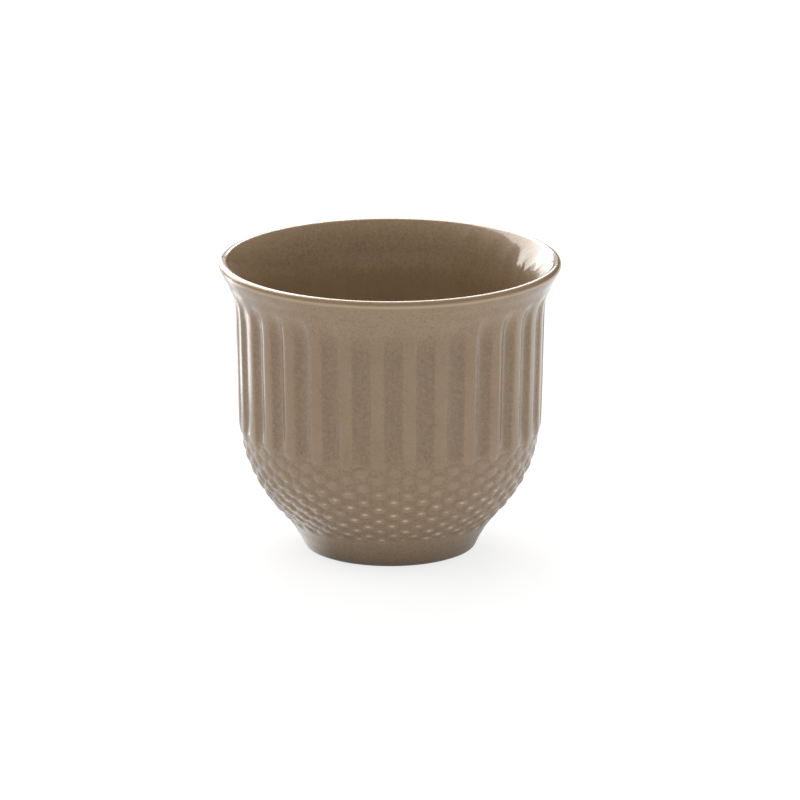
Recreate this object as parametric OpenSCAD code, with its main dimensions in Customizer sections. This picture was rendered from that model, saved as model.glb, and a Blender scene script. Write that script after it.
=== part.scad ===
// Small handleless coffee cup with a flared lip, upright flutes and a band of beads.
// The cup stands on the ground plane, with its axis along Z and its front towards -Y.

/* [Cup] */
// Width across the lip
rim_d = 65; // [58:0.5:74]
// Height from the ground to the top of the lip
cup_h = 56.3; // [52:0.1:64]
// How far the straight wall leans outward, in degrees
wall_lean = 2.3; // [1.5:0.1:3]
// Thickness from the tops of the ridges to the inside, both coats of glaze included
wall_t = 3; // [2.6:0.1:3.6]

/* [Bowl] */
// Height of the floor inside, above the ground
floor_h = 3.2; // [2.6:0.1:4.5]
// Radius of the flat middle of the floor
floor_r = 2.75; // [1:0.05:5]

/* [Lip] */
// How far the lip stands out beyond the lower end of the straight wall
flare_w = 3.95; // [3.3:0.05:4.6]
// How far the flared lip leans outward, in degrees
flare_lean = 25.5; // [22:0.5:30]
// Radius of the bend below the lip, outside
flare_r = 9.8; // [8:0.1:11]
// How far the inside leans outward where it meets the lip, in degrees
inner_lean = 50; // [44:1:52]
// Radius of the bend below the lip, inside
inner_flare_r = 12.5; // [9:0.5:14]
// Thickness of the lip
lip_t = 1.86; // [1.7:0.02:2.1]
// Half the angle that the flat on top of the lip takes out of its rounding
lip_flat_a = 20; // [15:1:30]

/* [Foot] */
// Height of the smooth foot under the band of beads
foot_h = 6.2; // [5.8:0.1:6.6]
// Width of the foot where its side would meet the ground
foot_d = 32; // [30:0.1:34]
// How far the foot stands back from the lower edge of the band of beads
foot_ledge = 0.2; // [0.18:0.01:0.24]
// Radius of the foot's outer edge at the ground
foot_edge_r = 1.65; // [1.3:0.05:2]
// Width of the ring that the cup stands on, its rounded edge included
foot_ring_w = 3.4; // [2.8:0.1:4]
// Depth of the hollow inside the ring
foot_hollow = 1; // [0.8:0.1:1.2]
// How far the side of the hollow slopes in
hollow_slope = 0.6; // [0.4:0.1:1]

/* [Flutes] */
// Number of flutes round the cup
flutes = 30; // [24:1:36]
// Angle from the front of the cup to the middle of the first flute
flute_turn = 1.3; // [0:0.1:12]
// Depth of a flute below the ridges
flute_depth = 0.75; // [0.5:0.05:1]
// Width of a flute as a share of the step from one flute to the next
flute_share = 0.6; // [0.5:0.02:0.7]
// Height at which the flutes begin, above the band of beads
flute_bottom = 23.4; // [21:0.1:25]
// Height of the smooth band from the ends of the flutes to the top of the lip
lip_band = 4.7; // [4:0.1:5.5]
// Height of the rounded upper end of a flute
arch_h = 3; // [2:0.1:3.5]
// Height of the sloping lower end of a flute
sill_h = 1.4; // [1:0.1:2]

/* [Beads] */
// Height of a bead above the valleys round it
bead_h = 0.4; // [0.2:0.05:0.6]
// Drop from the lower ends of the flutes to the middle of the uppermost row of beads
bead_gap = 1.6; // [1:0.1:2]
// Step from one row of beads to the next, along the side of the bowl
bead_step = 1.67; // [1.4:0.01:2]
// Least distance from the lowest row of beads to the edge of the band, along the side of the bowl
edge_gap = 1; // [0.8:0.1:1.4]
// How far the lower edge of the band lies under the tops of the beads
band_edge = 0.1; // [0.05:0.05:0.2]

/* [Glaze] */
// Thickness of each coat of glaze
glaze_t = 0.25; // [0.2:0.01:0.3]
// Lean of the foot's rounded edge where the outer coat ends, in degrees
coat_stop_a = 52; // [35:1:55]
// Width of the bare clay left between the ring and the coat under the base
bare_w = 0.5; // [0.3:0.1:0.8]

/* [Hidden] */
$fn = 96;

clay_colour = [0.62, 0.55, 0.46];
glaze_colour = [0.55, 0.47, 0.4];
well_colour = [0.45, 0.37, 0.3];
base_colour = [0.5, 0.42, 0.35];

// How far a cut runs past the surface that it opens
overrun = 1;

// Angle from one flute to the next
pitch_a = 360 / flutes;
// Angle step of the rounded stretches of a turned profile
arc_step = 6;

// Radius and centre of the lip's rounding, whose top is cut flat at cup_h
lip_r = lip_t / 2;
lip_c = [rim_d / 2 - lip_r, cup_h - lip_r * cos(lip_flat_a)];

// Radius of the outside where the bowl turns into the straight wall
wall_r = rim_d / 2 - flare_w;
// Radii of the bowl's arc outside and inside, and their centre: the straight wall leaves them as a tangent
bowl_r = (wall_r - floor_r) / cos(wall_lean);
well_r = bowl_r - wall_t;
bowl_c = [floor_r, floor_h + well_r];
bowl_top = bowl_c.y - bowl_r * sin(wall_lean);

// Direction outward from a surface that leans by a
function outward(a) = [cos(a), -sin(a)];

// Centre of a bend of radius r between the wall, moved by wall_off, and a flare that leans by lean
// and touches the lip's rounding, moved by flare_off
function bend_centre(r, lean, wall_off, flare_off) =
  let (
    on_wall = [wall_r, bowl_top] * outward(wall_lean) + wall_off + r,
    on_flare = lip_c * outward(lean) + lip_r + flare_off + r,
    turn = sin(lean - wall_lean)
  )
  [
    (on_wall * sin(lean) - on_flare * sin(wall_lean)) / turn,
    (on_wall * cos(lean) - on_flare * cos(wall_lean)) / turn
  ];

flare_c = bend_centre(flare_r, flare_lean, 0, 0);
// The bend inside is no wider than the room between its corner and the lip
inner_corner = bend_centre(0, inner_lean, -wall_t, -lip_t);
inner_room = norm(lip_c - lip_r * outward(inner_lean) - inner_corner);
inner_bend_r = min(inner_flare_r, inner_room / tan((inner_lean - wall_lean) / 2));
inner_flare_c = bend_centre(inner_bend_r, inner_lean, -wall_t, -lip_t);
flare_start = flare_c.y + flare_r * sin(wall_lean);
flare_end = flare_c.y + flare_r * sin(flare_lean);
lip_start = lip_c.y - lip_r * sin(flare_lean);
flute_top = cup_h - lip_band;

// Place on the outside of the cup, as radius, height and lean of the surface there
function bowl_at(a) = [bowl_c.x + bowl_r * cos(a), bowl_c.y - bowl_r * sin(a), a];
// Place on the bowl whose point, sunk by drop, comes to height z
function bowl_side(z, drop) = bowl_at(asin((bowl_c.y - z) / (bowl_r - drop)));
function wall_side(z) = [wall_r + (z - bowl_top) * tan(wall_lean), z, wall_lean];
function flare_side(z) =
  let (a = asin((z - flare_c.y) / flare_r))
  [flare_c.x - flare_r * cos(a), z, a];
function straight_side(z) =
  [flare_side(flare_end).x + (z - flare_end) * tan(flare_lean), z, flare_lean];
function side(z) =
  z < bowl_top ? bowl_side(z, 0)
  : z < flare_start ? wall_side(z)
  : z < flare_end ? flare_side(z)
  : straight_side(z);
// Place on the lip's rounding where the surface leans by a
function lip_side(a) = [lip_c.x + lip_r * cos(a), lip_c.y - lip_r * sin(a), a];

// Point at place s, raised by lift from the surface, at turn steps of one flute from the first
function point_at(s, lift, turn) =
  let (
    r = s[0] + lift * cos(s[2]),
    a = flute_turn + turn * pitch_a
  )
  [r * sin(a), -r * cos(a), s[1] - lift * sin(s[2])];

// A ring round the cup: shares tell where its points lie in a flute's step, drops how deep
function ring(s, shares, drops, lift) = [
  shares,
  [for (j = [0:flutes - 1], i = [0:len(shares) - 1]) point_at(s, lift - drops[i], j + shares[i])]
];

// Where the points of the rings lie in the step from one flute to the next
across_shares = [-1, -0.55, 0, 0.55, 1];
groove_shares = across_shares * flute_share / 2;
bead_shares = [-1 / 3, 0, 1 / 3];
between_shares = [-1 / 2, -1 / 6, 1 / 6];
smooth_shares = [-1 / 4, 1 / 4];

// Ring across the flutes, of depth d less what their rounded ends take off as the share end_share
function groove_ring(z, lift, d, end_share) =
  ring(
    side(z), groove_shares,
    [for (u = across_shares) d * max(0, 1 - u * u - end_share)],
    lift
  );

// Row k of the beads, counted from the top: every other row stands half a step aside
bead_a = bead_step / bowl_r * 180 / PI;
bead_top_a = asin((bowl_c.y - flute_bottom + bead_gap) / bowl_r);
band_a = asin((bowl_c.y - foot_h) / bowl_r) - bead_top_a;
bead_rows = 1 + floor((band_a * PI / 180 * bowl_r - edge_gap) / bead_step);
function bead_ring(k, lift) =
  k % 2 == 0
  ? ring(bowl_at(bead_top_a + k * bead_a), bead_shares, [bead_h, 0, bead_h], lift)
  : ring(bowl_at(bead_top_a + k * bead_a), between_shares, [0, bead_h, bead_h], lift);
// Lower edge of the band of beads, level with the top of the foot
function edge_ring(lift) =
  ring(
    bowl_side(foot_h, band_edge - lift),
    bead_rows % 2 == 0 ? bead_shares : between_shares,
    [band_edge, band_edge, band_edge],
    lift
  );
function smooth_ring(s, lift) = ring(s, smooth_shares, [0, 0], lift);

// Heights of the rings in the rounded ends of the flutes, as shares of that end
arch_shares = [1, 0.6, 0.25];
// Leans of the lip's rounding at its rings, from the flare to the flat on top
lip_leans = [0, -35, lip_flat_a - 90];

// Rings of the outside from the foot to the lip: a lift of 0 is the glaze, a negative one the clay
function outside(lift) = concat(
  [edge_ring(lift)],
  [for (k = [bead_rows - 1:-1:0]) bead_ring(k, lift)],
  [groove_ring(flute_bottom, lift, bead_h, 0)],
  [for (z = [flute_bottom + sill_h, flare_start]) groove_ring(z, lift, flute_depth, 0)],
  [for (s = arch_shares) groove_ring(flute_top - s * arch_h, lift, flute_depth, pow(1 - s, 2))],
  [for (z = [flute_top, lip_start]) smooth_ring(side(z), lift)],
  [for (a = lip_leans) smooth_ring(lip_side(a), lift)]
);

// Turn at which point i of a ring lies, counted in steps of one flute
function turn_of(shares, i) = floor(i / len(shares)) + shares[i % len(shares)];

// Faces of the strip between two rings, whose first points are number p and number q
function strip(a, b, p, q) =
  let (
    na = len(a[1]),
    nb = len(b[1])
  )
  [
    for (
      i = 0, j = 0, low = true;
      i + j < na + nb;
      low = turn_of(a[0], i + 1) < turn_of(b[0], j + 1),
      i = low ? i + 1 : i,
      j = low ? j : j + 1
    )
      turn_of(a[0], i + 1) < turn_of(b[0], j + 1)
      ? [p + i % na, q + j % nb, p + (i + 1) % na]
      : [p + i % na, q + j % nb, q + (j + 1) % nb]
  ];

// Numbers of the first points of each ring, and after them the count of all points
function starts(rings, n = 0, sum = 0) =
  n == len(rings) ? [sum] : concat([sum], starts(rings, n + 1, sum + len(rings[n][1])));

function all_points(rings) = [for (r = rings, p = r[1]) p];
function all_strips(rings, first) =
  [for (n = [0:len(rings) - 2], f = strip(rings[n], rings[n + 1], first[n], first[n + 1])) f];

// A solid with a flat end below and above, skinned over its rings
module capped(rings) {
  first = starts(rings);
  last = len(rings) - 1;
  polyhedron(
    points = all_points(rings),
    faces = concat(
      [[for (i = [0:first[1] - 1]) i]],
      all_strips(rings, first),
      [[for (i = [first[last + 1] - 1:-1:first[last]]) i]]
    )
  );
}

// A shell skinned over rings that come round to the first again
module looped(rings) {
  first = starts(rings);
  last = len(rings) - 1;
  polyhedron(
    points = all_points(rings),
    faces = concat(all_strips(rings, first), strip(rings[last], rings[0], first[last], 0))
  );
}

// Radius of the glazed foot at its top, under the edge of the band of beads, and the lean of its side
band_foot = bowl_side(foot_h, band_edge);
foot_top_r = band_foot[0] - band_edge * cos(band_foot[2]) - foot_ledge;
foot_lean = atan((foot_top_r - foot_d / 2) / foot_h);
// Width of the coat on the foot, measured level
foot_coat_w = glaze_t / cos(foot_lean);
foot_clay_r = foot_d / 2 - foot_coat_w;
ring_in_r = foot_clay_r - foot_ring_w;
// Radius of the clay's side of the foot at height z
function foot_r(z) = foot_clay_r + z * tan(foot_lean);
// Centre of the rounding at the foot's outer edge
foot_edge_c = [foot_clay_r - foot_edge_r * tan(45 - foot_lean / 2), foot_edge_r];
// Leans along that rounding where it is bare and where the outer coat covers it
edge_steps = 3;
bare_leans = [for (n = [0:edge_steps - 1]) 90 + (coat_stop_a - 90) * n / edge_steps];
coat_leans = [for (n = [0:edge_steps]) coat_stop_a + (foot_lean - coat_stop_a) * n / edge_steps];

module foot_profile() {
  polygon(concat(
    [[0, foot_hollow], [ring_in_r - hollow_slope, foot_hollow], [ring_in_r, 0]],
    [for (a = concat(bare_leans, coat_leans)) foot_edge_c + foot_edge_r * outward(a)],
    [[foot_r(foot_h), foot_h], [0, foot_h]]
  ));
}

// Inside of the cup from the middle of the floor to the top of the lip, raised by lift
function well_points(lift) = concat(
  [[0, bowl_c.y - well_r + lift]],
  [for (a = [90:-arc_step:wall_lean]) bowl_c + (well_r - lift) * outward(a)],
  [for (n = [0:bend_steps]) inner_flare_c - (inner_bend_r + lift) * outward(bend_lean(n))],
  [for (n = [0:lip_steps]) lip_c + (lip_r + lift) * outward(inner_lip_lean(n))]
);
// Steps and leans along the bend below the lip and along the inner half of the lip's rounding
bend_steps = 8;
function bend_lean(n) = wall_lean + (inner_lean - wall_lean) * n / bend_steps;
lip_steps = 3;
function inner_lip_lean(n) = inner_lean - 180 + (90 - lip_flat_a - inner_lean) * n / lip_steps;

// Height of the flat on top of the lip, raised by lift
function lip_top(lift) = lip_c.y + (lip_r + lift) * cos(lip_flat_a);
// The inner coat ends on the flat within the flat-sided edge of the outer coat
meet_r = lip_c.x * cos(180 / (flutes * len(smooth_shares)));

// Fired clay, with the flutes and beads in it and the ring that the cup stands on
module clay_body() {
  clay_side = well_points(-glaze_t);
  mouth_r = clay_side[len(clay_side) - 1].x;
  color(clay_colour)
    difference() {
      union() {
        capped(outside(-glaze_t));
        rotate_extrude() foot_profile();
      }
      rotate_extrude()
        polygon(concat(clay_side, [[mouth_r, cup_h + overrun], [0, cup_h + overrun]]));
    }
}

// Coat from the top of the lip down the outside and round the edge of the foot
module outer_glaze() {
  clay_rings = outside(-glaze_t);
  color(glaze_colour) {
    looped(concat(
      outside(0),
      [for (lift = [0, -glaze_t]) smooth_ring([lip_c.x, lip_top(lift), 0], 0)],
      [for (n = [len(clay_rings) - 1:-1:0]) clay_rings[n]]
    ));
    rotate_extrude() polygon(concat(
      [for (a = coat_leans) foot_edge_c + (foot_edge_r + glaze_t) * outward(a)],
      [[foot_r(foot_h) + foot_coat_w, foot_h], [foot_r(foot_h), foot_h]],
      [for (n = [edge_steps:-1:0]) foot_edge_c + foot_edge_r * outward(coat_leans[n])]
    ));
  }
}

// Coat over the whole inside
module inner_glaze() {
  clay_side = well_points(-glaze_t);
  open_side = well_points(0);
  color(well_colour)
    rotate_extrude() polygon(concat(
      clay_side,
      [[meet_r, lip_top(-glaze_t)], [meet_r, lip_top(0)]],
      [for (n = [len(open_side) - 1:-1:0]) open_side[n]]
    ));
}

// Coat under the base, inside the ring that the cup stands on
module base_glaze() {
  color(base_colour)
    translate([0, 0, foot_hollow - glaze_t])
      cylinder(h = glaze_t, r = ring_in_r - hollow_slope - bare_w);
}

clay_body();
outer_glaze();
inner_glaze();
base_glaze();
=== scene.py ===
# A small handleless coffee cup with flutes and beads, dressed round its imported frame.
import math

import bpy
import numpy as np
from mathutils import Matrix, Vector


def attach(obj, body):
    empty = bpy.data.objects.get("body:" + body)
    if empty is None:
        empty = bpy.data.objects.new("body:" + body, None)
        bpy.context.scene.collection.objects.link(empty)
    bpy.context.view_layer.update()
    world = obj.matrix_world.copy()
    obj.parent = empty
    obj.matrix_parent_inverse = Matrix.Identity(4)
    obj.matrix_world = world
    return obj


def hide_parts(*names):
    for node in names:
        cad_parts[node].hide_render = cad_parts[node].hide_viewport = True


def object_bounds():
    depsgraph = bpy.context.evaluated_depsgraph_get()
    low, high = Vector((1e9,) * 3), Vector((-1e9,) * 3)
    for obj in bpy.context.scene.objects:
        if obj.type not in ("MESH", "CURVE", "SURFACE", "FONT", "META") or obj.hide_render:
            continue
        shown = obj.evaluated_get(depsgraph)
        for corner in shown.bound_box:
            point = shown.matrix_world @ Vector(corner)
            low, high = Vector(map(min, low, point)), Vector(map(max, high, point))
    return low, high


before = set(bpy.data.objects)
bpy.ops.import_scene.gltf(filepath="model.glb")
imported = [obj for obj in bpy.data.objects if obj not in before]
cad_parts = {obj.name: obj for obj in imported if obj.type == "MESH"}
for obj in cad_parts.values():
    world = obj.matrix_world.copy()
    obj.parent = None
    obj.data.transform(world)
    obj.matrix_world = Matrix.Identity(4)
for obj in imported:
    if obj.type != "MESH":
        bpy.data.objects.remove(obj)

cad_lo, cad_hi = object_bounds()

# Sizes are in millimetres and degrees here, and meshes are made in metres.
MM = 0.001
seed = 7
rng = np.random.default_rng(seed)

# The cup's driving sizes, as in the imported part
rim_d = 65.0
cup_h = cad_hi.z / MM
wall_lean = 2.3
wall_t = 3.0
floor_h = 3.2
floor_r = 2.75
flare_w = 3.95
flare_lean = 25.5
flare_r = 9.8
inner_lean = 50.0
inner_flare_r = 12.5
lip_t = 1.86
lip_flat_a = 20.0
foot_h = 6.2
foot_d = 32.0
foot_ledge = 0.2
foot_edge_r = 1.65
foot_ring_w = 3.4
foot_hollow = 1.0
hollow_slope = 0.6
flutes = 30
flute_turn = 1.3
flute_depth = 0.75
flute_share = 0.6
flute_bottom = 23.4
lip_band = 4.7
arch_h = 3.0
sill_h = 1.4
bead_rows = 12
bead_gap = 1.6
bead_step = 1.67
band_edge = 0.1
glaze_t = 0.25
coat_stop_a = 52.0
bare_w = 0.5

# Values worked out from them
pitch_a = 360 / flutes
lip_r = lip_t / 2
lip_c = np.array([rim_d / 2 - lip_r, cup_h - lip_r * math.cos(math.radians(lip_flat_a))])
wall_r = rim_d / 2 - flare_w
bowl_r = (wall_r - floor_r) / math.cos(math.radians(wall_lean))
well_r = bowl_r - wall_t
bowl_c = np.array([floor_r, floor_h + well_r])
bowl_top = bowl_c[1] - bowl_r * math.sin(math.radians(wall_lean))
flute_top = cup_h - lip_band


def outward(lean):
    """Direction out of a surface that leans outward by so many degrees, as radius and height."""
    a = math.radians(lean)
    return np.array([math.cos(a), -math.sin(a)])


def bend_centre(radius, lean, wall_off, flare_off):
    """Centre of the bend between the wall and a leaning flare, both moved outward by offsets."""
    on_wall = np.array([wall_r, bowl_top]) @ outward(wall_lean) + wall_off + radius
    on_flare = lip_c @ outward(lean) + lip_r + flare_off + radius
    return np.linalg.solve(np.array([outward(wall_lean), outward(lean)]), [on_wall, on_flare])


flare_c = bend_centre(flare_r, flare_lean, 0, 0)
inner_flare_c = bend_centre(inner_flare_r, inner_lean, -wall_t, -lip_t)


def bowl_lean(z):
    """Lean of the bowl's outside at height z, in degrees."""
    return np.degrees(np.arcsin(np.clip((bowl_c[1] - z) / bowl_r, -1, 1)))


def bowl_at(lean):
    """Point of the bowl's outside that leans by so many degrees."""
    return bowl_c + bowl_r * outward(lean)


bead_top_a = float(np.degrees(np.arcsin((bowl_c[1] - flute_bottom + bead_gap) / bowl_r)))
band_foot_a = math.degrees(math.asin((bowl_c[1] - foot_h) / (bowl_r - band_edge)))
foot_top_r = bowl_at(band_foot_a)[0] - band_edge * math.cos(math.radians(band_foot_a)) - foot_ledge
foot_lean = math.degrees(math.atan((foot_top_r - foot_d / 2) / foot_h))
foot_clay_r = foot_d / 2 - glaze_t / math.cos(math.radians(foot_lean))
ring_in_r = foot_clay_r - foot_ring_w
foot_edge_c = np.array([foot_clay_r - foot_edge_r * math.tan(math.radians(45 - foot_lean / 2)), foot_edge_r])


# Outlines: lines of (radius, height) that are then walked at chosen steps
def arc(centre, radius, first, last, step=0.5):
    """Points round a centre from one lean to another."""
    leans = np.linspace(first, last, max(2, int(abs(last - first) / step) + 1))
    return np.array([centre + radius * outward(a) for a in leans])


# Softness of the corner between the foot and the bowl
corner_soft = 1.1
foot_and_bowl_points = 900


def foot_and_bowl():
    """The glazed outside from the foot's rounded edge to the top of the bowl."""
    start = (foot_edge_c + (foot_edge_r + glaze_t) * outward(foot_lean))[1]
    z = np.linspace(start, bowl_top, foot_and_bowl_points)
    on_foot = foot_d / 2 + z * math.tan(math.radians(foot_lean))
    on_bowl = bowl_c[0] + bowl_r * np.cos(np.radians(bowl_lean(z)))
    above = on_bowl - on_foot
    r = on_foot + (above + np.sqrt(above**2 + corner_soft**2)) / 2
    r = np.where(z < floor_h, on_foot, r)
    return np.stack([r, z], 1)


# Points of an outline that lie closer together than this are one
same_point = 1e-4


def outline():
    """The glazed surface from the foot's edge over the lip to the middle of the floor inside."""
    parts = [
        arc(foot_edge_c, foot_edge_r + glaze_t, coat_stop_a, foot_lean),
        foot_and_bowl(),
        arc(flare_c, -flare_r, wall_lean, flare_lean),
        arc(lip_c, lip_r, flare_lean, -90),
        arc(lip_c, lip_r, -90, inner_lean - 180),
        arc(inner_flare_c, -inner_flare_r, inner_lean, wall_lean),
        arc(bowl_c, well_r, wall_lean, 90),
        [[0.0, bowl_c[1] - well_r]],
    ]
    line = np.concatenate(parts)
    keep = np.r_[True, np.linalg.norm(np.diff(line, axis=0), axis=1) > same_point]
    return line[keep]


# Length to each side over which the direction out of the surface is evened out
even_w = 0.3


class Path:
    """An outline walked by its length, with the direction out of the surface at each place."""

    def __init__(self, line, step=0.02):
        run = np.r_[0, np.cumsum(np.linalg.norm(np.diff(line, axis=0), axis=1))]
        self.length = run[-1]
        self.s = np.linspace(0, self.length, int(self.length / step) + 1)
        self.at = np.stack([np.interp(self.s, run, line[:, i]) for i in range(2)], 1)
        along = np.gradient(self.at, self.s, axis=0)
        width = int(even_w / step)
        weights = np.hanning(2 * width + 1)
        weights /= weights.sum()
        padded = np.pad(along, ((width, width), (0, 0)), mode="edge")
        smooth = np.stack([np.convolve(padded[:, i], weights, mode="valid") for i in range(2)], 1)
        out = np.stack([smooth[:, 1], -smooth[:, 0]], 1)
        self.out = out / np.linalg.norm(out, axis=1, keepdims=True)

    def point(self, s):
        """Points at these lengths, as radius and height."""
        return np.stack([np.interp(s, self.s, self.at[:, i]) for i in range(2)], -1)

    def normal(self, s):
        """Directions out of the surface at these lengths."""
        n = np.stack([np.interp(s, self.s, self.out[:, i]) for i in range(2)], -1)
        return n / np.linalg.norm(n, axis=-1, keepdims=True)

    def place_of(self, r, z):
        """Length along the path at which it passes closest to a point."""
        return self.s[np.argmin(np.hypot(self.at[:, 0] - r, self.at[:, 1] - z))]


skin = Path(outline())
s_crest = skin.place_of(lip_c[0], lip_c[1] + lip_r)
s_foot_side = skin.place_of(*(foot_edge_c + (foot_edge_r + glaze_t) * outward(foot_lean)))
s_band = skin.place_of(foot_top_r, foot_h)


def height_place(z, inside=False):
    """Length along the path where the outside, or the inside, passes height z."""
    half = skin.s > s_crest if inside else skin.s <= s_crest
    return skin.s[half][np.argmin(np.abs(skin.at[half, 1] - z))]


# Relief
def smooth_step(x, low, high):
    """0 at low, 1 at high, and an even rise between them that begins and ends softly."""
    t = np.clip((x - low) / (high - low), 0, 1)
    return t * t * (3 - 2 * t)


def bell(z, middle, width):
    """1 at a middle height, and less above and below it."""
    return np.exp(-((z - middle) / width) ** 2)


# How softly a flute's edge turns into the ridge beside it, and how much more softly at its arch
flute_soft = 0.32
arch_soft = 0.25
# Share of its depth that a flute keeps at its upper end, and the height over which it runs out
run_out_share = 0.35
run_out_h = 5.2
# Share of its depth that a flute keeps at its sill, and the height over which it deepens from there
sill_share = 0.35
sill_run = 2 * sill_h
# A flute is 1 in its middle and 0 at its edge, and below 0 beyond: where its softness begins and ends
soft_start = -3.2
soft_end = -0.9
# Arches and sills are followed no farther than this many times their height
far_off = 3


def across_flute(turn, share):
    """Place across a flute: 0 in its middle, 1 at its edges."""
    u = ((turn - flute_turn) / pitch_a + 0.5) % 1 - 0.5
    return np.abs(u) / (share / 2)


def round_off(f, soft):
    """f where it is above 0, else 0, with a soft turn between."""
    return (f + np.sqrt(f**2 + soft**2)) / 2


def flute_cut(turn, z, share, top, arch, bottom, sill, kept):
    """Depth of the flutes as a share of their full depth, at an angle and a height."""
    u = across_flute(turn, share)
    high = np.clip((z - top + arch) / arch, 0, far_off)
    low = np.clip((bottom - z) / arch, 0, far_off)
    fade = kept + (1 - kept) * smooth_step(top - z, 0, run_out_h)
    fade = fade * (sill_share + (1 - sill_share) * smooth_step(z, bottom, bottom + sill))
    f = 1 - u**2 - high**2 - low**2
    soft = flute_soft + arch_soft * np.clip(high, 0, 1)
    return round_off(f, soft) * smooth_step(f, soft_start, soft_end) * fade


# Beads vary a little in place and size, as on a cup modelled by hand. The draws reach a few rows past
# the band, because its ends are worked out from the beads that would follow.
spare_rows = 6
rows_above = 2
bead_jitter = 0.24
least_growth = 0.72
jitter_at = rng.uniform(-1, 1, (bead_rows + spare_rows, flutes, 2)) * bead_jitter
bead_growth = rng.uniform(least_growth, 1.0, (bead_rows + spare_rows, flutes))
# Height of the beads over their valleys, and how far a bead's round side reaches from its middle
bead_relief = 0.46
bead_reach = 1.36
bead_squash = 0.84
dome_power = 0.9
# The glaze rounds the valleys where beads meet: the lower, the more it fills them
bead_melt = 2.6
# A painted glint, partly thin and pale glaze, on a bead's upper side: this far above its middle, this wide
# and this high
thin_and_glint_up = 0.36
thin_and_glint_wide = 0.7
thin_and_glint_high = 0.3


def below_top_row(z):
    """Length along the bowl from the top row of beads down to height z."""
    return np.radians(bowl_lean(z) - bead_top_a) * bowl_r


def down_rows(z, first, last):
    """0 at one row of beads and above it, 1 at another and below it."""
    return smooth_step(below_top_row(z), first * bead_step, last * bead_step)


def bead_field(turn, z, r):
    """Height of the beads as a share of their relief, and a painted glint on their upper sides, partly thin
    glaze.
    """
    q = below_top_row(z)
    row = np.round(q / bead_step).astype(int)
    near = []
    for dk in (-2, -1, 0, 1, 2):
        k = row + dk
        drawn = (k + rows_above) % len(jitter_at)
        column = (turn - flute_turn) / pitch_a - 0.5 * (k % 2)
        for dj in (-1, 0, 1):
            j = np.round(column).astype(int) + dj
            move = jitter_at[drawn, j % flutes]
            size = bead_growth[drawn, j % flutes]
            dx = np.radians((column - j) * pitch_a) * r + move[..., 0]
            dy = q - k * bead_step + move[..., 1]
            far = np.hypot(dx * bead_squash, dy) / bead_reach
            dome = size * np.clip(1 - far**2, 0, 1) ** dome_power
            # Painted glint, partly thin glaze: a pale spot above each bead's middle
            thin_and_glint = size * np.exp(-(dx / thin_and_glint_wide) ** 2 - ((dy + thin_and_glint_up) / thin_and_glint_high) ** 2)
            near.append(np.stack([dome, thin_and_glint]))
    near = np.array(near)
    joined = (near[:, 0] ** bead_melt).sum(0) ** (1 / bead_melt)
    return np.clip(joined, 0, 1), near[:, 1].max(0)


# Lengths before and after the middle of the first row, and of the last, between which the band fades
band_start = (-2.2, -0.9)
band_end = (-0.6, 1.1)
# Share of their relief that the beads of the top row have, and the row from which it is full
top_row_share = 0.7
full_row = 5


def band_strength(z):
    """How fully the beads stand out at height z: fainter near the flutes, none on the foot."""
    q = below_top_row(z)
    last = (bead_rows - 1) * bead_step
    relief = top_row_share + (1 - top_row_share) * down_rows(z, 0, full_row)
    return relief * smooth_step(q, *band_start) * (1 - smooth_step(q - last, *band_end))


# Shallow hollow that sets the rim off from the flutes
rim_groove = 0.13
rim_groove_z = 52.7
rim_groove_w = 0.8
# Tones: 0 where the glaze pools and shade is painted in, and these on plain places and on ridges, which
# thinner glaze and painted light make paler
plain_tone = 0.4
ridge_tone = 0.5
# Place across a flute where its pooled glaze and painted shade begin, and how softly
pool_and_shade_edge = 1.3
pool_and_shade_soft = 0.55
# Where the tones of flutes and ridges begin and end, from the flutes' lower and upper ends
flute_tone_start = (-0.4, 0.5)
flute_tone_end = (-7.4, -1.2)
# Tones between beads, dark from pooled glaze and painted shade, and on their crowns in the upper and in the
# lower rows, the upper ones paler from thin glaze and painted highlight
valley_tone = 0.02
crown_tone_high = 0.54
crown_tone = 0.38
crown_rows = (2, 6)
crown_shares = (0.3, 0.78)
# Painted glints, partly thin glaze, on the beads' upper sides: this share of them in the upper rows, all in
# the lower
thin_and_glint_top_share = 0.2
thin_and_glint_rows = (1.5, 5.5)
# A painted highlight: a pale band on the round side of the lip
lip_highlight = 0.33
lip_highlight_z = 55.35
lip_highlight_w = 0.5
# Beads are worked out up to this far above the flutes' lower ends
band_over = 1.0
# Height of the clay under the coat, as a share of the beads' relief
sunk_share = 0.1


def bead_tone(bead, z):
    """Tone of a bead from its valley, with pooled glaze and painted shade, to its crown: the crowns are
    palest in the upper rows, with thin glaze and painted highlight.
    """
    crown = crown_tone_high + (crown_tone - crown_tone_high) * down_rows(z, *crown_rows)
    return valley_tone + (crown - valley_tone) * smooth_step(bead, *crown_shares)


def thin_and_glint_strength(z):
    """How strong the painted glints, partly thin glaze, on the beads' upper sides are at height z: most in
    the lower rows.
    """
    return thin_and_glint_top_share + (1 - thin_and_glint_top_share) * down_rows(z, *thin_and_glint_rows)


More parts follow.
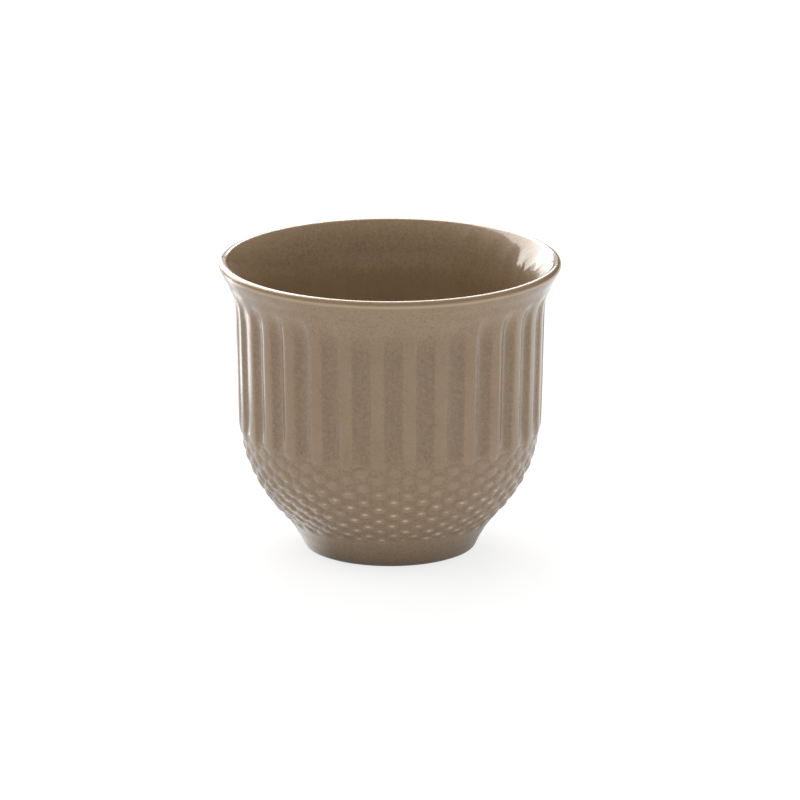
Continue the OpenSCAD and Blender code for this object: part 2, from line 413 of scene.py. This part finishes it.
def outside_relief(s, turn, sunk=False):
    """How deep the outside lies under its outline, and its tone from 0 to 1."""
    at = skin.point(s)
    z = np.broadcast_to(at[:, 1:], (len(s), turn.shape[1]))
    r = np.broadcast_to(at[:, :1], z.shape)
    t = np.broadcast_to(turn, z.shape)
    cut = flute_cut(t, z, flute_share, flute_top, arch_h, flute_bottom, sill_run, run_out_share)
    band = band_strength(z) * (z < flute_bottom + band_over)
    bead = np.ones_like(z)
    thin_and_glint = np.zeros_like(z)
    rows = band[:, 0] > 0
    if sunk:
        bead[rows] = sunk_share
    else:
        bead[rows], thin_and_glint[rows] = bead_field(t[rows], z[rows], r[rows])
    drop = flute_depth * cut + bead_relief * band * (1 - bead)
    drop = drop + rim_groove * bell(z, rim_groove_z, rim_groove_w)
    # Painted shade, with pooled glaze: the flutes' grooves get the darker tone
    in_flute = smooth_step(pool_and_shade_edge - across_flute(t, flute_share), 0, pool_and_shade_soft)
    fluted = smooth_step(z - flute_bottom, *flute_tone_start)
    fluted = fluted * (1 - smooth_step(z - flute_top, *flute_tone_end))
    tone = plain_tone + fluted * (ridge_tone - plain_tone - ridge_tone * in_flute)
    tone = tone - band * (plain_tone - bead_tone(bead, z))
    # Painted glints, partly thin glaze, on the beads' upper sides
    tone = tone + (1 - plain_tone) * thin_and_glint * band * thin_and_glint_strength(z)
    # Painted highlight: a pale band on the lip's round side
    tone = tone + lip_highlight * bell(z, lip_highlight_z, lip_highlight_w)
    return drop, np.clip(tone, 0, 1)


# The inside shows soft flutes behind those of the outside, with the same count
inner_depth = 0.14
inner_share = 0.9
inner_top = 55.0
inner_arch = 2.6
inner_bottom = 20.0
inner_sill = 8.0
inner_kept_share = 1.0
# Tones of the inside, near the lip and deeper, and the heights between which they change
inner_tone_high = 0.15
inner_tone_low = 0.5
inner_tone_z = (44.0, 53.0)


def inside_relief(s, turn, sunk=False):
    """How deep the inside lies under its outline, and its tone. It is the same under the coat."""
    at = skin.point(s)
    z = np.broadcast_to(at[:, 1:], (len(s), turn.shape[1]))
    t = np.broadcast_to(turn, z.shape)
    cut = flute_cut(t, z, inner_share, inner_top, inner_arch, inner_bottom, inner_sill, inner_kept_share)
    deep = 1 - smooth_step(z, *inner_tone_z)
    return inner_depth * cut, inner_tone_high + (inner_tone_low - inner_tone_high) * deep


# Meshes: points in a ring on the surfaces that show, and on those between the clay and its glaze
columns = 540
coarse = 180
# Faces that meet at more than this angle keep a sharp edge
sharp_a = 62


def turns(count):
    """Angles of the points in a ring, as one row."""
    return (np.arange(count) * 360 / count)[None, :]


def placed(r, z, turn):
    """Points of a ring round the axis, in metres: turn 0 is the front, towards -Y."""
    a = np.radians(turn)
    r, z = np.broadcast_to(r, a.shape), np.broadcast_to(z, a.shape)
    return np.stack([r * np.sin(a), -r * np.cos(a), z], -1) * MM


def skin_rings(s, count, relief, lift=0.0, sunk=False):
    """Rings of the glazed surface at these lengths, and the tones of their points."""
    at, out = skin.point(s), skin.normal(s)
    turn = turns(count)
    drop, tone = relief(s, turn, sunk)
    off = np.asarray(lift).reshape(-1, 1) - drop
    r = at[:, :1] + out[:, :1] * off
    z = at[:, 1:] + out[:, 1:] * off
    return list(placed(r, z, np.broadcast_to(turn, r.shape))), list(tone)


def interface_rings(s, relief):
    """Rings of the surface between the clay and its glaze."""
    return skin_rings(s, coarse, relief, lift=-glaze_t, sunk=True)


def pole(z):
    """A ring of one point on the axis."""
    return np.array([[0.0, 0.0, z]]) * MM


def turned(line):
    """Rings of a plain turned profile."""
    return [pole(z) if r == 0 else placed(np.array(r), np.array(z), turns(coarse)[0]) for r, z in line]


def plain_tones(rings):
    """The plain tone for rings without relief."""
    return [np.full(len(ring), plain_tone) for ring in rings]


def steps(*stretches):
    """Lengths from stretches given as first, last and step."""
    runs = [np.linspace(a, b, max(2, int(math.ceil(abs(b - a) / d)) + 1)) for a, b, d in stretches]
    return np.concatenate([runs[0]] + [run[1:] for run in runs[1:]])


def faces_between(na, nb, first_a, first_b):
    """Faces from one ring to the next, their corners' places round the cup and 1 for the next ring's."""
    few = min(na, nb)
    i = np.arange(few if few > 1 else max(na, nb))
    if na == 1:
        corners = [np.full(nb, first_a), first_b + (i + 1) % nb, first_b + i]
        places = [(i + 0.5) / nb, (i + 1) / nb, i / nb]
        on_next = [0, 1, 1]
    elif nb == 1:
        corners = [first_a + i, first_a + (i + 1) % na, np.full(na, first_b)]
        places = [i / na, (i + 1) / na, (i + 0.5) / na]
        on_next = [0, 0, 1]
    else:
        ka, kb = na // few, nb // few
        corners = [first_a + (ka * i + n) % na for n in range(ka + 1)]
        corners += [first_b + (kb * i + n) % nb for n in range(kb, -1, -1)]
        places = [(i + n / ka) / few for n in range(ka + 1)]
        places += [(i + n / kb) / few for n in range(kb, -1, -1)]
        on_next = [0] * (ka + 1) + [1] * (kb + 1)
    return np.stack(corners, 1), np.stack(places, 1), np.array(on_next)


def build(name, rings, tones, closed, material):
    """A mesh skinned over rings of points; a ring of one point is a pole. closed joins the ends."""
    counts = [len(ring) for ring in rings]
    first = np.r_[0, np.cumsum(counts)]
    starts = [ring[0] for ring in rings]
    gaps = [np.linalg.norm(b - a) for a, b in zip(starts, starts[1:] + starts[:1])]
    run = np.r_[0, np.cumsum(gaps)]
    run = run / run[-1]
    faces, maps = [], []
    for a in range(len(rings) if closed else len(rings) - 1):
        b = (a + 1) % len(rings)
        if counts[a] == counts[b] == 1:
            continue
        corners, places, on_next = faces_between(counts[a], counts[b], first[a], first[b])
        faces += corners.tolist()
        along = np.broadcast_to(np.where(on_next, run[a + 1], run[a]), places.shape)
        maps.append(np.stack([places, along], -1))
    mesh = bpy.data.meshes.new(name)
    mesh.from_pydata(np.concatenate(rings).tolist(), [], faces)
    bake = mesh.uv_layers.new(name="OFBake", do_init=False)
    uv = np.concatenate([m.reshape(-1, 2) for m in maps]).astype(np.float32)
    bake.uv.foreach_set("vector", uv.ravel())
    shown = mesh.attributes.new("relief", "FLOAT", "POINT")
    shown.data.foreach_set("value", np.concatenate(tones).astype(np.float32))
    mesh.shade_smooth()
    mesh.set_sharp_from_angle(angle=math.radians(sharp_a))
    mesh.materials.append(material)
    piece = bpy.data.objects.new(name, mesh)
    bpy.context.scene.collection.objects.link(piece)
    return piece


# Places along the path where the spacing of the rings changes
foot_margin = 1.0
flute_margin = 1.2
arch_margin = 0.3
lip_reach = 1.25
inner_arch_margin = 4.5
middle_margin = 1.0
s_beads = s_band - foot_margin
s_flutes = height_place(flute_bottom + flute_margin)
s_arches = height_place(flute_top - arch_h)
s_flare = height_place(flute_top + arch_margin)
lip_side = math.pi / 2 * lip_r * lip_reach
s_inner_arches = height_place(inner_top - inner_arch_margin, True)
s_inner_sill = height_place(inner_bottom + inner_sill, True)
s_middle = skin.length - middle_margin

# Spacing of the rings on the surfaces that show
edge_ring_gap = 0.25
foot_ring_gap = 0.6
bead_ring_gap = 0.19
flute_ring_gap = 2.6
arch_ring_gap = 0.2
flare_ring_gap = 0.45
lip_ring_gap = 0.11
inner_flare_ring_gap = 0.3
inner_wall_ring_gap = 1.5
inner_floor_ring_gap = 1.0
# Spacing of the rings between the clay and its glaze
coarse_bead_gap = 0.9
coarse_flute_gap = 5.0
coarse_arch_gap = 0.6
coarse_inner_gap = 2.4

out_fine = steps(
    (0, s_foot_side, edge_ring_gap),
    (s_foot_side, s_beads, foot_ring_gap),
    (s_beads, s_flutes, bead_ring_gap),
    (s_flutes, s_arches, flute_ring_gap),
    (s_arches, s_flare, arch_ring_gap),
    (s_flare, s_crest - lip_side, flare_ring_gap),
    (s_crest - lip_side, s_crest, lip_ring_gap),
)
out_coarse = steps(
    (0, s_beads, coarse_bead_gap),
    (s_beads, s_flutes, coarse_bead_gap),
    (s_flutes, s_arches, coarse_flute_gap),
    (s_arches, s_flare, coarse_arch_gap),
    (s_flare, s_crest, coarse_arch_gap),
)
in_fine = steps(
    (s_crest, s_crest + lip_side, lip_ring_gap),
    (s_crest + lip_side, s_inner_arches, inner_flare_ring_gap),
    (s_inner_arches, s_inner_sill, inner_wall_ring_gap),
    (s_inner_sill, s_middle, inner_floor_ring_gap),
)
in_coarse = steps(
    (s_crest, s_inner_arches, coarse_arch_gap),
    (s_inner_arches, s_middle, coarse_inner_gap),
)

# Length over which the coat thins out to a rounded edge on the foot
coat_thin = 0.8


def outer_lift(s):
    """How far the outside lies over its outline: below 0 where the coat thins out."""
    return -glaze_t * (1 - np.sqrt(np.clip(s / coat_thin, 0, 1)))


# Materials
def make_material(name):
    """A material with one plain shader."""
    material = bpy.data.materials.new(name)
    material.use_nodes = True
    tree = material.node_tree
    tree.nodes.clear()
    out = tree.nodes.new("ShaderNodeOutputMaterial")
    shader = tree.nodes.new("ShaderNodeBsdfPrincipled")
    tree.links.new(shader.outputs[0], out.inputs["Surface"])
    return material, tree, shader


def link(tree, source, target):
    """Joins a node's output to another's input."""
    tree.links.new(source, target)


def noise(tree, scale, detail, roughness, distortion=0.0):
    """Noise over the piece, whose grain is about 1 / scale metres."""
    where = tree.nodes.new("ShaderNodeTexCoord")
    node = tree.nodes.new("ShaderNodeTexNoise")
    node.inputs["Scale"].default_value = scale
    node.inputs["Detail"].default_value = detail
    node.inputs["Roughness"].default_value = roughness
    node.inputs["Distortion"].default_value = distortion
    link(tree, where.outputs["Object"], node.inputs["Vector"])
    return node.outputs["Fac"]


def spread(tree, value, low, high, to_low=0.0, to_high=1.0, smooth=True):
    """Turns a range of values into another, and holds what lies beyond at its ends."""
    node = tree.nodes.new("ShaderNodeMapRange")
    node.interpolation_type = "SMOOTHSTEP" if smooth else "LINEAR"
    node.inputs["From Min"].default_value = low
    node.inputs["From Max"].default_value = high
    node.inputs["To Min"].default_value = to_low
    node.inputs["To Max"].default_value = to_high
    link(tree, value, node.inputs["Value"])
    return node.outputs["Result"]


def math_node(tree, operation, a, b=None):
    """Result of an operation on one or two values, each a number or a socket."""
    node = tree.nodes.new("ShaderNodeMath")
    node.operation = operation
    for value, socket in ((a, node.inputs[0]), (b, node.inputs[1])):
        if isinstance(value, (int, float)):
            socket.default_value = value
        elif value is not None:
            link(tree, value, socket)
    return node.outputs[0]


def times(tree, a, b):
    """Product of two values, each a number or a socket."""
    return math_node(tree, "MULTIPLY", a, b)


def total(tree, *values):
    """Sum of several sockets or numbers."""
    result = values[0]
    for value in values[1:]:
        result = math_node(tree, "ADD", result, value)
    return result


def mixed(tree, share, low, high):
    """Mixes two colours, each a plain colour or a socket, by a share from a socket."""
    node = tree.nodes.new("ShaderNodeMix")
    node.data_type = "RGBA"
    link(tree, share, node.inputs[0])
    for colour, socket in ((low, node.inputs[6]), (high, node.inputs[7])):
        if isinstance(colour, tuple):
            socket.default_value = (*colour, 1)
        else:
            link(tree, colour, socket)
    return node.outputs[2]


def flecks(tree, scale, detail, roughness, distortion, low, high, share):
    """How much of a fleck's colour there is at each place, at most a share."""
    return spread(tree, noise(tree, scale, detail, roughness, distortion), low, high, 0.0, share)


def bumped(tree, scale, detail, roughness, height, strength, under=None):
    """Direction out of a surface with small bumps, whose height is in millimetres."""
    node = tree.nodes.new("ShaderNodeBump")
    node.inputs["Distance"].default_value = height * MM
    node.inputs["Strength"].default_value = strength
    link(tree, noise(tree, scale, detail, roughness), node.inputs["Height"])
    if under is not None:
        link(tree, under, node.inputs["Normal"])
    return node.outputs["Normal"]


def uneven(tree, scale, detail, roughness, low, high, smoothest, roughest):
    """A roughness that wanders between two values."""
    wander = noise(tree, scale, detail, roughness)
    return spread(tree, wander, low, high, smoothest, roughest, smooth=False)


# Colours of the glaze, in linear light: pooled with painted shade, on ridges, thin with painted highlights,
# its clouds, pale mottle and specks
glaze_pooled_and_shaded = (0.206, 0.136, 0.074)
glaze_high = (0.256, 0.175, 0.100)
glaze_thin_and_highlight = (0.50, 0.39, 0.265)
glaze_warm = (0.222, 0.140, 0.070)
glaze_pale = (0.330, 0.235, 0.143)
glaze_speck = (0.105, 0.066, 0.035)
# Colours of the bare clay, its sand and its clouds
clay_colour = (0.42, 0.33, 0.24)
clay_dark = (0.30, 0.225, 0.16)
clay_warm = (0.36, 0.265, 0.18)
# Tones between which the pooled and shaded colour turns into the ridges' and that into the colour of thin
# glaze and painted highlights, and between which the flecks grow fainter
pooled_and_shaded_tones = (0.02, 0.38)
thin_and_highlight_tones = (0.5, 0.94)
thin_and_highlight_most = 0.95
fleck_tones = (0.41, 0.49)
fleck_least = 0.4
# Flecks: their noise, the values of it between which they appear, and the most of their colour
clouds = dict(scale=140, detail=4, roughness=0.6, distortion=0.0, low=0.35, high=0.68, share=0.5)
mottle = dict(scale=1500, detail=3, roughness=0.7, distortion=0.0, low=0.40, high=0.64, share=0.26)
shade = dict(scale=1800, detail=3, roughness=0.7, distortion=0.4, low=0.50, high=0.68, share=0.28)
specks = dict(scale=2600, detail=1, roughness=0.5, distortion=0.0, low=0.62, high=0.72, share=0.4)
sand = dict(scale=2600, detail=3, roughness=0.65, distortion=0.0, low=0.35, high=0.7, share=0.8)
clay_clouds = dict(scale=260, detail=3, roughness=0.5, distortion=0.0, low=0.4, high=0.7, share=0.4)
# Roughness: its noise, the values of it that count, and the smoothest and roughest that it makes
glaze_rough = dict(scale=420, detail=3, roughness=0.5, low=0.3, high=0.7, smoothest=0.36, roughest=0.46)
clay_rough = dict(scale=900, detail=3, roughness=0.5, low=0.3, high=0.7, smoothest=0.72, roughest=0.9)
# Small bumps: their noise, height in millimetres and strength
peel = dict(scale=330, detail=2, roughness=0.5, height=0.35, strength=0.12)
grain = dict(scale=1700, detail=2, roughness=0.55, height=0.08, strength=0.22)
grit = dict(scale=2400, detail=3, roughness=0.6, height=0.12, strength=0.5)


def glaze_material(name):
    """Glossy taupe glaze: paler on what stands out, from thin glaze and painted highlights, and darker in
    the recesses, from pooled glaze and painted shade.
    """
    material, tree, shader = make_material(name)
    tone = tree.nodes.new("ShaderNodeAttribute")
    tone.attribute_name = "relief"
    tone = tone.outputs["Fac"]
    # Painted shade, with pooled glaze, in the low tones, and the ridges' colour in the higher ones
    base = mixed(tree, spread(tree, tone, *pooled_and_shaded_tones), glaze_pooled_and_shaded, glaze_high)
    base = mixed(tree, flecks(tree, **clouds), base, glaze_warm)
    strength = spread(tree, tone, *fleck_tones, 1.0, fleck_least)
    for fleck, colour in ((mottle, glaze_pale), (shade, glaze_speck), (specks, glaze_speck)):
        base = mixed(tree, times(tree, flecks(tree, **fleck), strength), base, colour)
    # Painted highlights, partly thin glaze, in the highest tones: the beads' upper sides, the lip's round
    # side and the upper crowns
    base = mixed(tree, spread(tree, tone, *thin_and_highlight_tones, 0.0, thin_and_highlight_most), base, glaze_thin_and_highlight)
    link(tree, base, shader.inputs["Base Color"])
    link(tree, uneven(tree, **glaze_rough), shader.inputs["Roughness"])
    shader.inputs["IOR"].default_value = 1.5
    shader.inputs["Specular IOR Level"].default_value = 0.35
    shader.inputs["Coat Weight"].default_value = 1.0
    shader.inputs["Coat Roughness"].default_value = 0.1
    shader.inputs["Coat IOR"].default_value = 1.5
    waves = bumped(tree, **peel)
    link(tree, bumped(tree, **grain, under=waves), shader.inputs["Normal"])
    link(tree, waves, shader.inputs["Coat Normal"])
    return material


def clay_material():
    """Bare fired stoneware on the ring that the cup stands on: matt, sandy, worn a little darker."""
    material, tree, shader = make_material("clay")
    base = mixed(tree, flecks(tree, **sand), clay_colour, clay_dark)
    base = mixed(tree, flecks(tree, **clay_clouds), base, clay_warm)
    link(tree, base, shader.inputs["Base Color"])
    link(tree, uneven(tree, **clay_rough), shader.inputs["Roughness"])
    shader.inputs["Specular IOR Level"].default_value = 0.3
    link(tree, bumped(tree, **grit), shader.inputs["Normal"])
    return material


outer_material = glaze_material("outer_glaze")
inner_material = glaze_material("inner_glaze")
base_material = glaze_material("base_glaze")
clay = clay_material()

# The outer coat: a closed shell from the top of the lip to the foot's rounded edge
rings, tones = skin_rings(out_fine, columns, outside_relief, outer_lift(out_fine))
back, back_tones = interface_rings(out_coarse[::-1][:-1], outside_relief)
outer = build("outer_glaze_coat", rings + back, tones + back_tones, True, outer_material)

# The inner coat: a closed shell from the top of the lip to the middle of the floor
floor_z = bowl_c[1] - well_r
floor_tone = np.full(1, inner_tone_low)
rings, tones = skin_rings(in_fine, columns, inside_relief)
back, back_tones = interface_rings(in_coarse[::-1], inside_relief)
rings += [pole(floor_z), pole(floor_z - glaze_t)]
tones += [floor_tone, floor_tone]
inner = build("inner_glaze_coat", rings + back, tones + back_tones, True, inner_material)

# The clay between the coats, bare at the ring that the cup stands on. The hollow's corners are eased.
hollow_r = ring_in_r - hollow_slope
ease_in = 0.15
ease_out = 0.1
ring_ease_w = (0.25, 0.1, 0.15)
ring_ease_h = (0.12, 0.03)
edge_step_a = 6
under_line = [(0, foot_hollow), (hollow_r - bare_w, foot_hollow), (hollow_r - ease_in, foot_hollow)]
under_line += [(hollow_r + ease_out, foot_hollow - ease_out)]
under_line += [(ring_in_r - w, h) for w, h in zip(ring_ease_w, ring_ease_h)]
under_line += [(ring_in_r + ring_ease_w[2], 0)]
under_line += [tuple(p) for p in arc(foot_edge_c, foot_edge_r, 90, coat_stop_a, edge_step_a)]
under = turned(under_line)
sides, side_tones = interface_rings(out_coarse[1:], outside_relief)
well, well_tones = interface_rings(in_coarse[1:], inside_relief)
rings = under + sides + well + [pole(floor_z - glaze_t)]
tones = plain_tones(under) + side_tones + well_tones + [np.ones(1)]
body = build("clay_cup", rings, tones, False, clay)

# The coat under the base, inside the ring, with a rounded edge
coat_r = hollow_r - bare_w
coat_z = foot_hollow - glaze_t
coat_shares = (1 / 6, 2 / 6, 3 / 6, 4 / 6)
coat_flat = 0.3
coat_edge_c = np.array([coat_r - glaze_t, foot_hollow])
coat_edge_step_a = 15
base_line = [(0, coat_z)] + [(coat_r * share, coat_z) for share in coat_shares]
base_line += [(coat_r - coat_flat, coat_z)]
base_line += [tuple(p) for p in arc(coat_edge_c, glaze_t, 90 - coat_edge_step_a, 0, coat_edge_step_a)]
base_line += [(0, foot_hollow)]
rings = turned(base_line)
base = build("base_glaze_coat", rings, plain_tones(rings), False, base_material)

for piece, node, slot in (
    (outer, "outer_glaze", "outer_glaze"),
    (inner, "inner_glaze", "inner_glaze"),
    (body, "clay_body", "clay"),
    (base, "base_glaze", "base_glaze"),
):
    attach(piece, "root")
    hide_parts(node)


# Stage
def either(tree, rays, *names):
    """1 for rays of any of these kinds."""
    result = rays.outputs[names[0]]
    for name in names[1:]:
        result = math_node(tree, "MAXIMUM", result, rays.outputs[name])
    return result


def measured(tree, operation, where, other):
    """Distance of a place from a point, or how far it lies along a direction."""
    node = tree.nodes.new("ShaderNodeVectorMath")
    node.operation = operation
    link(tree, where, node.inputs[0])
    node.inputs[1].default_value = other
    return node.outputs["Value"]


def patch(tree, where, centre, near, far, inside, outside):
    """A value round a centre on the floor: one within the distance near, another beyond far."""
    return spread(tree, measured(tree, "DISTANCE", where, centre), near, far, inside, outside)


# The floor's half width, in metres, and how far it lies under the cup
floor_half = 3.0
floor_drop = 0.02
floor_grey = 0.22
# How much soft light the floor sends up past the cup's shadow, and the radii between which it begins
floor_bounce = 1.05
bounce_near = 0.015
bounce_far = 0.034
# What the glossy glaze sees of the floor: how bright it is under the cup and away from it
gloss_under = 0.3
gloss_away = 0.5
gloss_near = 0.018
gloss_far = 0.05
# A bright streak behind to the left: its direction, half width, distances in metres and brightness
streak_a = -130.0
streak_half = 30.0
streak_near = 0.10
streak_far = 0.14
streak_bright = 2.5
# Bright patches: centre and radii in metres, and brightness
patches = (
    dict(centre=(0.06, 0.14, 0), near=0.02, far=0.10, inside=0.3),
    dict(centre=(0.15, 0.06, 0), near=0.02, far=0.07, inside=0.5),
    dict(centre=(-0.0225, -0.004, 0), near=0.004, far=0.015, inside=0.6),
)


def streak_on_floor(tree, at):
    """Brightness of the streak at a place on the floor."""
    towards = (math.sin(math.radians(streak_a)), -math.cos(math.radians(streak_a)), 0)
    aside = (-towards[1], towards[0], 0)
    off = math_node(tree, "ABSOLUTE", measured(tree, "DOT_PRODUCT", at, aside))
    across = spread(tree, off, 0, 2 * streak_half * MM, 1.0, 0.0)
    beyond = spread(tree, measured(tree, "DOT_PRODUCT", at, towards), streak_near, streak_far)
    return times(tree, times(tree, across, beyond), streak_bright)


def floor_look():
    """White where it is seen, with the cup's shadow on it, and bright in places that glaze mirrors."""
    material, tree, shader = make_material("studio_floor")
    shader.inputs["Base Color"].default_value = (floor_grey, floor_grey, floor_grey, 1)
    shader.inputs["Roughness"].default_value = 0.9
    shader.inputs["Specular IOR Level"].default_value = 0.0
    shader.inputs["Emission Color"].default_value = (1, 1, 1, 1)
    rays = tree.nodes.new("ShaderNodeLightPath")
    place = tree.nodes.new("ShaderNodeNewGeometry")
    at = place.outputs["Position"]
    middle = (0, 0, 0)
    gloss = [streak_on_floor(tree, at)]
    gloss += [patch(tree, at, **spot, outside=0.0) for spot in patches]
    gloss += [patch(tree, at, middle, gloss_near, gloss_far, gloss_under, gloss_away)]
    gloss = times(tree, total(tree, *gloss), either(tree, rays, "Is Glossy Ray"))
    bounce = patch(tree, at, middle, bounce_near, bounce_far, 0.0, floor_bounce)
    bounce = times(tree, bounce, either(tree, rays, "Is Diffuse Ray"))
    seen = times(tree, either(tree, rays, "Is Camera Ray", "Is Transmission Ray"), 1.0 - floor_grey)
    link(tree, total(tree, gloss, bounce, seen), shader.inputs["Emission Strength"])
    # From below the floor isn't in the way
    clear = tree.nodes.new("ShaderNodeBsdfTransparent")
    side = tree.nodes.new("ShaderNodeMixShader")
    link(tree, place.outputs["Backfacing"], side.inputs["Fac"])
    link(tree, shader.outputs[0], side.inputs[1])
    link(tree, clear.outputs[0], side.inputs[2])
    link(tree, side.outputs[0], tree.nodes["Material Output"].inputs["Surface"])
    return material


def flat(name, half, z, material):
    """A square face that lies level, in metres."""
    mesh = bpy.data.meshes.new(name)
    corners = [(-half, -half, z), (half, -half, z), (half, half, z), (-half, half, z)]
    mesh.from_pydata(corners, [], [(0, 1, 2, 3)])
    mesh.materials.append(material)
    thing = bpy.data.objects.new(name, mesh)
    bpy.context.scene.collection.objects.link(thing)
    return thing


floor = flat("studio_floor", floor_half, -floor_drop * MM, floor_look())

# World: white where it is seen, and a soft studio round the cup otherwise
# What the glaze mirrors of it: low in front, and high all round
world_gloss_front = 0.4
world_gloss_high = 0.05
# Soft light from everywhere, and what is added in front, on the right and overhead
light_all = 0.31
light_front = 0.22
light_right = 0.72
light_top = 1.0
# Where each begins and is full, along an axis on which the world's directions run from -1 to 1
gloss_front_y = (-0.3, -0.9)
gloss_front_z = (0.5, 0.2)
gloss_high_z = (0.1, 0.6)
light_front_y = (-0.2, -1)
light_right_x = (0.2, 1)
light_top_z = (0.2, 1)


def studio_world():
    """The world's look, by the kind of ray that meets it."""
    world = bpy.data.worlds.new("studio")
    world.use_nodes = True
    tree = world.node_tree
    tree.nodes.clear()
    rays = tree.nodes.new("ShaderNodeLightPath")
    where = tree.nodes.new("ShaderNodeTexCoord")
    axes = tree.nodes.new("ShaderNodeSeparateXYZ")
    link(tree, where.outputs["Generated"], axes.inputs[0])
    x, y, z = axes.outputs["X"], axes.outputs["Y"], axes.outputs["Z"]
    front = spread(tree, y, *gloss_front_y, 0.0, world_gloss_front)
    low = spread(tree, z, *gloss_front_z)
    high = spread(tree, z, *gloss_high_z, 0.0, world_gloss_high)
    gloss = total(tree, times(tree, front, low), high)
    gloss = times(tree, gloss, either(tree, rays, "Is Glossy Ray"))
    seen = either(tree, rays, "Is Camera Ray", "Is Transmission Ray")
    soft = total(
        tree,
        light_all,
        spread(tree, y, *light_front_y, 0.0, light_front, smooth=False),
        spread(tree, x, *light_right_x, 0.0, light_right, smooth=False),
        spread(tree, z, *light_top_z, 0.0, light_top, smooth=False),
    )
    other = either(tree, rays, "Is Camera Ray", "Is Transmission Ray", "Is Glossy Ray")
    soft = times(tree, soft, math_node(tree, "SUBTRACT", 1.0, other))
    sky = tree.nodes.new("ShaderNodeBackground")
    out = tree.nodes.new("ShaderNodeOutputWorld")
    link(tree, total(tree, gloss, seen, soft), sky.inputs["Strength"])
    link(tree, sky.outputs[0], out.inputs["Surface"])
    return world


bpy.context.scene.world = studio_world()

# Lights: soft boxes, each aimed at the cup from this far, in metres
lamp_distance = 1.2
lamp_colour = (1.0, 0.98, 0.94)


def aimed(azimuth, elevation):
    """Direction from the cup to a lamp; azimuth is measured from the front towards the right."""
    a, e = math.radians(azimuth), math.radians(elevation)
    return Vector((math.sin(a) * math.cos(e), -math.cos(a) * math.cos(e), math.sin(e)))


def softbox(name, azimuth, elevation, size, radiance, kind):
    """A panel of width and height in metres: soft ones aren't mirrored, and gloss ones are only that."""
    width, height = size
    lamp = bpy.data.lights.new(name, "AREA")
    lamp.shape = "RECTANGLE"
    lamp.size = width
    lamp.size_y = height
    lamp.energy = radiance * width * height * math.pi
    lamp.color = lamp_colour
    thing = bpy.data.objects.new(name, lamp)
    back = aimed(azimuth, elevation)
    thing.location = back * lamp_distance + Vector((0, 0, cup_h * MM / 2))
    thing.rotation_mode = "QUATERNION"
    thing.rotation_quaternion = back.to_track_quat("Z", "Y")
    thing.visible_camera = False
    thing.visible_glossy = kind != "soft"
    thing.visible_diffuse = kind != "gloss"
    bpy.context.scene.collection.objects.link(thing)


softbox("key_back_left", -130, 21, (1.1, 0.8), 2.0, "soft")
softbox("left_high", -84, 58, (1.0, 0.8), 1.6, "soft")
softbox("back_top", 180, 45, (0.9, 0.8), 4.65, "soft")
softbox("left_gloss", -138, 34, (0.56, 1.25), 4.2, "gloss")
softbox("low_gloss", -158, 9, (0.34, 0.42), 4.2, "gloss")
softbox("back_gloss", -172, 38, (0.92, 0.86), 5.5, "gloss")

# Camera: its distance is in metres, and its aim is moved in millimetres across and up the picture
camera_elevation = 15.3
camera_distance = 1.95
focal_length = 460.6
aim_right = 1.87
aim_up = 0.46
camera = bpy.data.objects.new("camera", bpy.data.cameras.new("camera"))
camera.data.lens = focal_length
camera.data.sensor_width = 36
e = math.radians(camera_elevation)
back = Vector((0, -math.cos(e), math.sin(e)))
up = Vector((0, math.sin(e), math.cos(e)))
target = Vector((aim_right * MM, 0, cup_h * MM / 2)) + up * aim_up * MM
camera.location = target + back * camera_distance
camera.rotation_mode = "QUATERNION"
camera.rotation_quaternion = back.to_track_quat("Z", "Y")
camera.data.clip_start = 0.05
camera.data.clip_end = 50
bpy.context.scene.collection.objects.link(camera)
bpy.context.scene.camera = camera
bpy.context.scene.view_settings.view_transform = "Standard"
